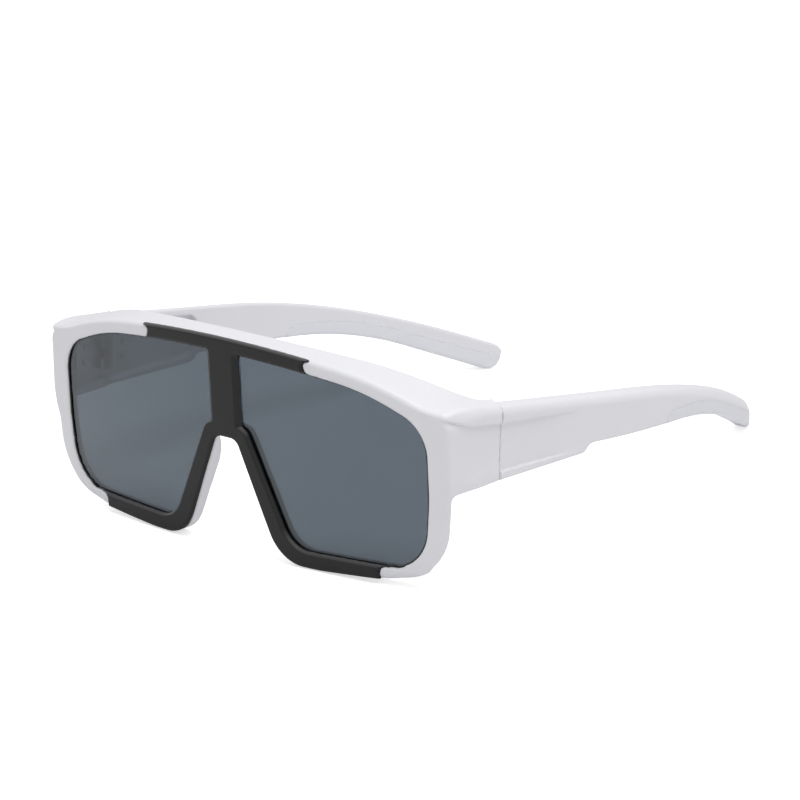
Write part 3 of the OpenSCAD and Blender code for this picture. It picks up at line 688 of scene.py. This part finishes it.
side_low, side_high, block_wall = (10.0, -4.0), (156.0, 52.0), 2.4
arm_side = distance_table(outline([
    (front_end, arm_low + low_rise * (seam_y - front_end), 0), (block_y, block_low, 3),
    (block_y + 2, low_start_z, 3), (low_bend_y, low_bend_z, 100), (tip_low_y, -tip_drop, tip_low_r),
    (tip_y, tip_height, tip_top_r), (arm_bend_y, arm_bend_z, 260),
    (front_end, arm_top + top_fall * (seam_y - front_end), 0)]), side_low, side_high)
pad_side = distance_table(outline([
    (pad_y, -5, 0), (tip_y + 10, -5, 0), (tip_y + 10, pad_height - tip_fall * 12, 0),
    (low_bend_y, low_bend_z + pad_height, 70),
    (pad_y, low_start_z - low_fall * (pad_y - block_y - 2) + pad_height, 2.5)]), side_low, side_high)
block_side = distance_table(outline([
    (seam_y - 10, arm_low + block_wall, 0), (block_y, block_low + block_wall, 3),
    (block_y + 2, arm_top - block_wall - top_fall * (block_y + 2 - seam_y), 3),
    (seam_y - 10, arm_top - block_wall + top_fall * 10, 0)]), side_low, side_high)
print("the arm turns down at", round(arm_bend_y, 1), "and its lower edge at", round(low_bend_y, 1))

# %% [markdown]
# The arm's field is that outline, between an outer and an inner face that bend in together behind the
# ear. The soft pad is the same body, a hair larger, kept below the pad's own outline. It laps over the
# arm a little, so the joint shows as a fine line and not as a dark gap. Both arms could be built, but
# one skin is enough: the right arm is its mirror image.

# %% The arm and its soft pad
def across_arm(x, y):
    """Distance from the middle as if the arm were straight."""
    centre = arm_half - bend_r
    return np.where(y > bend_y, centre + np.hypot(x - centre, y - bend_y), x)


def arm_body(x, y, z, proud):
    """The whole blade with its pad, everywhere this much larger."""
    e = across_arm(x, y)
    s = arm_side(y, z) - proud
    sink = panel_sink(y, z, fade(z + 0.09 * (y - 25), 27.6, 28.1)) * (1 - fade(y, 38, 57))
    outer = e - arm_half - proud + sink
    inner = arm_half - arm_thick - proud - e
    above = s * math.cos(bevel_fall) + (e - arm_half + 2.6) * math.sin(bevel_fall)
    upper = z > np.interp(y, [20, 100, 150], [36, 24, 4])
    body = soft_max(outer, np.where(upper, above, s), 1.3 + 0.6 * upper)
    body = soft_max(body, s, 1.2)
    return soft_max(body, inner, 1.1)


def arm_field(p):
    x, y, z = p.T
    body = arm_body(x, y, z, 0)
    hollow = soft_max(x - wall_in, block_side(y, z), 0.7)
    body = soft_max(body, -hollow, 0.5)
    body = soft_max(body, -seam_lap - seam_side(y, z), joint_roll)
    return soft_max(body, -pad_play - pad_side(y, z), joint_roll)


def pad_field(p):
    x, y, z = p.T
    return soft_max(arm_body(x, y, z, pad_proud), pad_side(y, z) - pad_lap, joint_roll)


arm_skin = skin(arm_field, (28, 22.5, 0), (74.4, 151.5, 47), 0.45,
                whole=lambda p: arm_body(*p.T, 0))
pad_skin = skin(pad_field, (28, 87, -0.6), (74.4, 151.5, 27), 0.45,
                whole=lambda p: arm_body(*p.T, pad_proud))


def mirrored_skin(points, quads, normals):
    flip = np.array([-1, 1, 1])
    return points * flip, quads[:, ::-1], normals * flip


left_arm_shell = as_mesh("left_arm_shell", *arm_skin)
right_arm_shell = as_mesh("right_arm_shell", *mirrored_skin(*arm_skin))
left_tip_grip = as_mesh("left_tip_grip", *pad_skin)
right_tip_grip = as_mesh("right_tip_grip", *mirrored_skin(*pad_skin))


# %% [markdown]
# ## Surfaces that several finishes share
# Moulded plastic is never perfectly even. The tool leaves a fine grain, thin and thick walls cool to
# slightly different gloss, hands polish the edges, and a little dust lies on what faces up. Each of
# these is one group of nodes here, and every finish takes from them what it needs. The wear group also
# paints shade into inner corners, and the dust group paints a sheen onto faces that look up.

# %% Helpers for shader groups
def shader_group(name, numbers, outputs):
    """An empty group that takes a place and some numbers, and puts out what is named."""
    tree = bpy.data.node_groups.new(name, "ShaderNodeTree")
    tree.interface.new_socket("Place", in_out="INPUT", socket_type="NodeSocketVector")
    for label, value in numbers.items():
        socket = tree.interface.new_socket(label, in_out="INPUT", socket_type="NodeSocketFloat")
        socket.default_value = value
    for label, kind in outputs.items():
        tree.interface.new_socket(label, in_out="OUTPUT", socket_type="NodeSocket" + kind)
    print("group:", name)
    return tree, tree.nodes.new("NodeGroupInput").outputs, tree.nodes.new("NodeGroupOutput")


def noise(tree, place, scale, detail, roughness=0.5):
    return add(tree, "ShaderNodeTexNoise", {
        "Vector": place, "Scale": scale, "Detail": detail, "Roughness": roughness}).outputs["Fac"]


def bumped(tree, height, depth, **settings):
    """The normal of a surface whose relief is a tenth of a millimetre, times its depth."""
    return add(tree, "ShaderNodeBump", {"Height": height, "Strength": depth, "Distance": 0.0001},
               **settings).outputs["Normal"]


# %% [markdown]
# The grain is what spark erosion leaves on a steel tool: tiny round pits, all much the same size. Two
# sizes of noise make it, one for the pits and one that lets them come and go over a few millimetres.

# %% Moulded grain
grain, given, result = shader_group(
    "moulded grain", {"Pits per metre": 2200.0, "Depth": 0.15},
    {"Pits": "Float", "Cloud": "Float", "Normal": "Vector"})
pits = noise(grain, given["Place"], given["Pits per metre"], 2.0)
cloud = noise(grain, given["Place"], 70.0, 3.0, 0.55)
height = sums(grain, "MULTIPLY", pits, sums(grain, "ADD", cloud, 0.5))
plug(grain, result, {
    "Pits": pits, "Cloud": cloud, "Normal": bumped(grain, height, given["Depth"])})

# %% [markdown]
# Wear shows on outward edges, so its mask starts from how sharply the surface turns there. The same
# turn, read the other way, gives painted shade in inner corners. Dust lies on faces that look up, in
# loose patches, and a painted sheen lightens every face that looks up.

# %% Edge wear, corner shade, dust and top sheen
wear_and_corner_shade, given, result = shader_group(
    "worn edges and corner shade", {"Amount": 0.5}, {"Edge": "Float", "Corner shade": "Float"})
turn = add(wear_and_corner_shade, "ShaderNodeNewGeometry").outputs["Pointiness"]
patchy = noise(wear_and_corner_shade, given["Place"], 260.0, 4.0)
# The first mask is wear on outward edges. The second is painted shade in inner corners.
for label, start, end in (("Edge", 0.52, 0.62), ("Corner shade", 0.48, 0.38)):
    broken = sums(wear_and_corner_shade, "MULTIPLY", spread(wear_and_corner_shade, turn, 0.0, 1.0, start, end), patchy)
    plug(wear_and_corner_shade, result, {label: sums(wear_and_corner_shade, "MULTIPLY", broken, given["Amount"])})

dust_and_top_sheen, given, result = shader_group(
    "settled dust and top sheen", {"Amount": 0.1}, {"Dust": "Float", "Top sheen": "Float"})
shape = add(dust_and_top_sheen, "ShaderNodeNewGeometry")
split = add(dust_and_top_sheen, "ShaderNodeSeparateXYZ", {0: shape.outputs["Normal"]})
up = spread(dust_and_top_sheen, split.outputs["Z"], 0.0, 1.0, 0.3, 1.0)
specks = noise(dust_and_top_sheen, given["Place"], 900.0, 5.0, 0.7)
dust_and_sheen = sums(dust_and_top_sheen, "MULTIPLY", up, spread(dust_and_top_sheen, specks, 0.0, 1.0, 0.5, 0.75))
# The first output is dust in loose patches. The second is a painted sheen on every face that looks up.
plug(dust_and_top_sheen, result, {"Dust": sums(dust_and_top_sheen, "MULTIPLY", dust_and_sheen, given["Amount"]), "Top sheen": up})

# %% [markdown]
# ## Finishes
# Every finish starts the same way: a shader, the place on the object, and the groups it needs.

# %% A start for every finish
def spaced(numbers):
    return {label.replace("_", " "): value for label, value in numbers.items()}


def start_finish(name, color, roughness, **numbers):
    """A new material, with its tree, its shader and the place on the object."""
    material = bpy.data.materials.new(name)
    material.use_nodes = True
    tree = material.node_tree
    shader = tree.nodes["Principled BSDF"]
    plug(tree, shader, {"Base Color": (*color, 1), "Roughness": roughness, **spaced(numbers)})
    print("finish:", name)
    return material, tree, shader, add(tree, "ShaderNodeTexCoord").outputs["Object"]


def use_group(tree, group, place, **numbers):
    """The outputs of a shared group, placed here with its own values."""
    return add(tree, "ShaderNodeGroup", {"Place": place, **spaced(numbers)}, node_tree=group).outputs


def tinted(tree, share, base, other):
    """The base colour, moved towards another by a mask."""
    first, second = ((*c, 1) if isinstance(c, tuple) else c for c in (base, other))
    return add(tree, "ShaderNodeMix", {"Factor": share, 6: first, 7: second}, data_type="RGBA").outputs[2]


# %% [markdown]
# The white parts are a satin nylon, coloured all through. Worn edges get shinier, not darker. The
# inner corners are painted a trace of grey, as painted shade.

# %% White moulding
white, tree, shader, place = start_finish("white moulding", (0.80, 0.80, 0.83), 0.42)
fine = use_group(tree, grain, place, Pits_per_metre=2600.0, Depth=0.10)
rubbed_and_shaded = use_group(tree, wear_and_corner_shade, place, Amount=0.8)
dust_and_sheen = use_group(tree, dust_and_top_sheen, place, Amount=0.10)
tone = tinted(tree, spread(tree, fine["Cloud"], 0.0, 0.5),
              (0.803, 0.803, 0.838), (0.778, 0.778, 0.814))
# painted shade: inner corners are darkened towards grey
tone = tinted(tree, rubbed_and_shaded["Corner shade"], tone, (0.55, 0.54, 0.53))
tone = tinted(tree, dust_and_sheen["Dust"], tone, (0.60, 0.59, 0.57))
gloss = spread(tree, fine["Cloud"], 0.36, 0.50)
gloss = sums(tree, "SUBTRACT", gloss, sums(tree, "MULTIPLY", rubbed_and_shaded["Edge"], 0.12))
plug(tree, shader, {"Base Color": tone, "Roughness": sums(tree, "ADD", gloss, dust_and_sheen["Dust"]),
                    "Normal": fine["Normal"]})

# %% [markdown]
# The trim is a matt black from a coarser tool. Black shows handling more than white does, so its edges
# carry a thin lighter rub and its top a little dust. Every face that looks up is also painted lighter,
# as a painted sheen.

# %% Black moulding
black, tree, shader, place = start_finish(
    "black moulding", (0.011, 0.011, 0.012), 0.42, Specular_IOR_Level=0.35)
fine = use_group(tree, grain, place, Pits_per_metre=1900.0, Depth=0.22)
rubbed_and_shaded = use_group(tree, wear_and_corner_shade, place, Amount=0.9)
dust_and_sheen = use_group(tree, dust_and_top_sheen, place, Amount=0.12)
tone = tinted(tree, fine["Cloud"], (0.009, 0.009, 0.010), (0.013, 0.013, 0.014))
tone = tinted(tree, rubbed_and_shaded["Edge"], tone, (0.05, 0.05, 0.052))
# painted sheen: every face that looks up is lightened towards grey
tone = tinted(tree, spread(tree, dust_and_sheen["Top sheen"], 0.0, 0.65), tone, (0.15, 0.15, 0.155))
tone = tinted(tree, dust_and_sheen["Dust"], tone, (0.16, 0.155, 0.15))
gloss = spread(tree, fine["Pits"], 0.36, 0.50)
gloss = sums(tree, "SUBTRACT", gloss, sums(tree, "MULTIPLY", rubbed_and_shaded["Edge"], 0.1))
plug(tree, shader, {"Base Color": tone, "Roughness": gloss, "Normal": fine["Normal"]})

# %% [markdown]
# The lens is a tinted polycarbonate sheet with a hard coat. It lets about a tenth of the light through.
# A cloth leaves faint arcs of haze, which only change the roughness.

# %% Smoke lens
smoke, tree, shader, place = start_finish(
    "smoke lens", (0.062, 0.083, 0.106), 0.03, Transmission_Weight=1.0, IOR=1.5,
    Coat_Weight=0.3, Coat_Roughness=0.02)
wiped = add(tree, "ShaderNodeTexWave", {
    "Vector": place, "Scale": 22.0, "Distortion": 9.0, "Detail": 4.0, "Detail Scale": 3.0},
    wave_type="RINGS")
dust_and_sheen = use_group(tree, dust_and_top_sheen, place, Amount=0.2)
haze = spread(tree, wiped.outputs["Fac"], 0.02, 0.045)
patches = noise(tree, place, 18.0, 2.0)
plug(tree, shader, {
    "Base Color": tinted(tree, patches, (0.058, 0.079, 0.101), (0.067, 0.088, 0.112)),
    "Roughness": sums(tree, "ADD", haze, dust_and_sheen["Dust"])})

# %% [markdown]
# The tip pads are a soft rubber, moulded onto the arm. Their grain is a close field of tiny round bumps,
# so they look dull beside the satin arm.

# %% Soft tip pads
grip, tree, shader, place = start_finish("tip rubber", (0.79, 0.795, 0.84), 0.6)
dots = add(tree, "ShaderNodeTexVoronoi", {"Vector": place, "Scale": 1500.0})
fine = use_group(tree, grain, place)
dust_and_sheen = use_group(tree, dust_and_top_sheen, place, Amount=0.2)
tone = tinted(tree, fine["Cloud"], (0.79, 0.795, 0.84), (0.765, 0.77, 0.815))
plug(tree, shader, {
    "Base Color": tinted(tree, dust_and_sheen["Dust"], tone, (0.5, 0.49, 0.48)),
    "Roughness": spread(tree, fine["Cloud"], 0.55, 0.72),
    "Normal": bumped(tree, dots.outputs["Distance"], 0.25, invert=True)})

# %% [markdown]
# The hinge parts are stamped stainless steel. The brush marks run along the leaf, so the noise is
# stretched a long way in that direction. Painted shade darkens the inner corners.

# %% Hinge steel
steel, tree, shader, place = start_finish("hinge steel", (0.66, 0.66, 0.66), 0.4, Metallic=1.0)
stretch = add(tree, "ShaderNodeMapping", {"Vector": place, "Scale": (3000.0, 90.0, 3000.0)})
marks = noise(tree, stretch.outputs[0], 1.0, 3.0, 0.6)
rubbed_and_shaded = use_group(tree, wear_and_corner_shade, place, Amount=1.0)
tone = tinted(tree, marks, (0.60, 0.60, 0.61), (0.72, 0.72, 0.725))
# painted shade: inner corners are darkened nearly to black
tone = tinted(tree, rubbed_and_shaded["Corner shade"], tone, (0.12, 0.11, 0.10))
tone = tinted(tree, rubbed_and_shaded["Edge"], tone, (0.72, 0.72, 0.72))
plug(tree, shader, {"Base Color": tone, "Roughness": spread(tree, marks, 0.32, 0.52),
                    "Normal": bumped(tree, marks, 0.12)})

# %% [markdown]
# ## The screws
# Ten small screws hold the hinges: four in the front, two in each arm, and the two that the arms turn on.
# They are all the same two turned parts, so each part is modelled once, and Geometry Nodes sets a copy
# at every place. No two screws stop at the same angle, so each copy gets its own turn from a fixed seed.

# %% One screw from its field
def screw_field(head_r, head_h, shaft_r, length):
    """A slotted head, and a shaft whose thread is a shallow ridge wound round it."""
    def field(p):
        x, y, z = p.T
        r = np.hypot(x, y)
        head = soft_max(r - head_r, np.abs(z + head_h / 2) - head_h / 2, 0.12)
        slot = np.maximum(np.abs(x) - 0.16, z + head_h - 0.26)
        head = soft_max(head, -slot, 0.04)
        ridge = np.abs((z / 0.4 - np.arctan2(y, x) / (2 * math.pi)) % 1 - 0.5) * 2
        thread = 0.07 * ridge * fade(z, 0.2, 0.5)
        shaft = soft_max(r - shaft_r + thread, z - length, 0.1)
        return soft_min(head, np.maximum(shaft, -0.1 - z), 0.06)
    return field


def screw_mesh(name, head_r, head_h, shaft_r, length, cell):
    """A screw along z, its head below zero and its shaft above."""
    reach = head_r + 2 * cell
    points, quads, normals = skin(
        screw_field(head_r, head_h, shaft_r, length),
        (-reach, -reach, -head_h - 2 * cell), (reach, reach, length + 2 * cell), cell)
    piece = as_mesh(name, points + [0, middle_y, 0], quads, normals)
    bpy.context.scene.collection.objects.unlink(piece)
    return piece


fixing_length, hinge_length = 1.6, 8.3
fixing_screw = screw_mesh("fixing_screw", 1.1, 0.5, 0.6, fixing_length, 0.09)
hinge_screw = screw_mesh("hinge_screw", 1.3, 0.7, 0.7, hinge_length, 0.11)

# %% [markdown]
# The plain screws of the model tell where each one sits and which way it points: its head is where its
# points lie furthest from its own middle line.

# %% Where the screws sit
def screw_place(name, axis, length):
    """Where a plain screw's head ends and its shaft begins, and which way the shaft points."""
    node = frame["nodes"][name]
    points = np.array([node.matrix_world @ v.co for v in node.data.vertices])
    axis = np.array(axis, float)
    along = points @ axis
    across = points - along[:, None] * axis
    middle = (across.max(0) + across.min(0)) / 2
    wide = np.linalg.norm(across - middle, axis=1) > 0.85 * np.linalg.norm(across - middle, axis=1).max()
    if along[wide].mean() > along.mean():
        axis, along = -axis, -along
    seat = along.max() - length * MM
    print(name, "points to", np.round(axis, 2))
    return middle + axis * seat, axis


def screw_spots(names, axis, length):
    """A mesh of bare points, one for each screw, that carry its direction."""
    mesh = bpy.data.meshes.new("screw places")
    spots = [screw_place(name, axis, length) for name in names]
    mesh.from_pydata([tuple(place) for place, _ in spots], [], [])
    pointing = mesh.attributes.new("pointing", "FLOAT_VECTOR", "POINT")
    pointing.data.foreach_set("vector", np.array([axis for _, axis in spots]).ravel())
    return mesh


# %% [markdown]
# The tree below does the setting: it reads the direction stored on each point, turns the screw's own
# axis into it, spins it by a random angle, and makes real geometry of the copies.

# %% The tree that sets the screws
def screw_tree():
    tree = bpy.data.node_groups.new("set screws", "GeometryNodeTree")
    for label, kind in (("Geometry", "NodeSocketGeometry"), ("Screw", "NodeSocketObject"),
                        ("Seed", "NodeSocketInt"), ("Finish", "NodeSocketMaterial")):
        tree.interface.new_socket(label, in_out="INPUT", socket_type=kind)
    tree.interface.new_socket("Geometry", in_out="OUTPUT", socket_type="NodeSocketGeometry")
    given, result = tree.nodes.new("NodeGroupInput").outputs, tree.nodes.new("NodeGroupOutput")
    part = add(tree, "GeometryNodeObjectInfo", {"Object": given["Screw"]})
    pointing = add(tree, "GeometryNodeInputNamedAttribute", {"Name": "pointing"}, data_type="FLOAT_VECTOR")
    turn = add(tree, "FunctionNodeRandomValue", {2: 0.0, 3: math.pi, "Seed": given["Seed"]},
               data_type="FLOAT")
    spin = add(tree, "ShaderNodeCombineXYZ", {"Z": turn.outputs[1]})
    spun = add(tree, "FunctionNodeEulerToRotation", {0: spin.outputs[0]})
    aimed = add(tree, "FunctionNodeAlignRotationToVector",
                {"Vector": pointing.outputs["Attribute"]}, axis="Z")
    whole = add(tree, "FunctionNodeRotateRotation", {
        "Rotation": aimed.outputs[0], "Rotate By": spun.outputs[0]}, rotation_space="LOCAL")
    points = add(tree, "GeometryNodeMeshToPoints", {"Mesh": given["Geometry"]})
    copies = add(tree, "GeometryNodeInstanceOnPoints", {
        "Points": points.outputs[0], "Instance": part.outputs["Geometry"], "Rotation": whole.outputs[0]})
    real = add(tree, "GeometryNodeRealizeInstances", {0: copies.outputs[0]})
    coat = add(tree, "GeometryNodeSetMaterial", {"Geometry": real.outputs[0], "Material": given["Finish"]})
    plug(tree, result, {0: coat.outputs[0]})
    return tree


setting = screw_tree()
socket_of = {item.name: item.identifier for item in setting.interface.items_tree
             if item.in_out == "INPUT"}
print("tree:", setting.name, "with inputs", sorted(socket_of))

# %% [markdown]
# A screw moves with the body that it sits in, so each body gets its own set. The tree's result is made
# a plain mesh at once, so nothing live is left on it, and the plain model's screws give way to it.

# %% Screws for each body
def set_screws(name, screw, names, axis, length, seed):
    base = in_scene(name + "_places", screw_spots(names, axis, length))
    modifier = base.modifiers.new("set screws", "NODES")
    modifier.node_group = setting
    modifier[socket_of["Screw"]] = screw
    modifier[socket_of["Seed"]] = seed
    modifier[socket_of["Finish"]] = steel
    seen = base.evaluated_get(bpy.context.evaluated_depsgraph_get())
    mesh = bpy.data.meshes.new_from_object(seen)
    bpy.data.objects.remove(base)
    mesh.name = name
    piece = in_scene(name, mesh)
    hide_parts(*names)
    print(name + ":", len(names), "screws,", 2 * len(mesh.polygons), "triangles")
    return piece


def fixing_screws(name, places, seed):
    names = [place + "_" + level + "_screw" for place in places for level in ("upper", "lower")]
    return set_screws(name, fixing_screw, names, (1, 0, 0), fixing_length, seed)


front_screws = fixing_screws("front_screws", ("left_front", "right_front"), 3)
left_arm_screws = fixing_screws("left_arm_screws", ("left_arm",), 5)
right_arm_screws = fixing_screws("right_arm_screws", ("right_arm",), 8)
hinge_screws = set_screws("hinge_screws", hinge_screw, ("left_hinge_screw", "right_hinge_screw"),
                          left_fold["axis"], hinge_length, 2)

# %% [markdown]
# ## Into the frame
# Each piece gets its finish, takes its plain node's place and rides on its body. The four hinge
# leaves are flat stampings that the plain model shows well enough, so they only get the steel.

# %% Pieces take their place
for piece, node, body, finish, slot in (
        (front_shell, "front_frame", "front", white, "white_shell"),
        (black_trim, "trim", "front", black, "black_trim"),
        (shield_lens, "lens", "front", smoke, "smoke_lens"),
        (left_arm_shell, "left_arm", "left_temple", white, "white_shell"),
        (right_arm_shell, "right_arm", "right_temple", white, "white_shell"),
        (left_tip_grip, "left_tip_pad", "left_temple", grip, "tip_pad"),
        (right_tip_grip, "right_tip_pad", "right_temple", grip, "tip_pad")):
    piece.data.materials.append(finish)
    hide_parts(node)
    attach(piece, body)

for piece, body in ((front_screws, "front"), (hinge_screws, "front"),
                    (left_arm_screws, "left_temple"), (right_arm_screws, "right_temple")):
    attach(piece, body)

for name, node in frame["nodes"].items():
    if "leaf" in name:
        node.data.materials.clear()
        node.data.materials.append(steel)
        print("steel on", name)
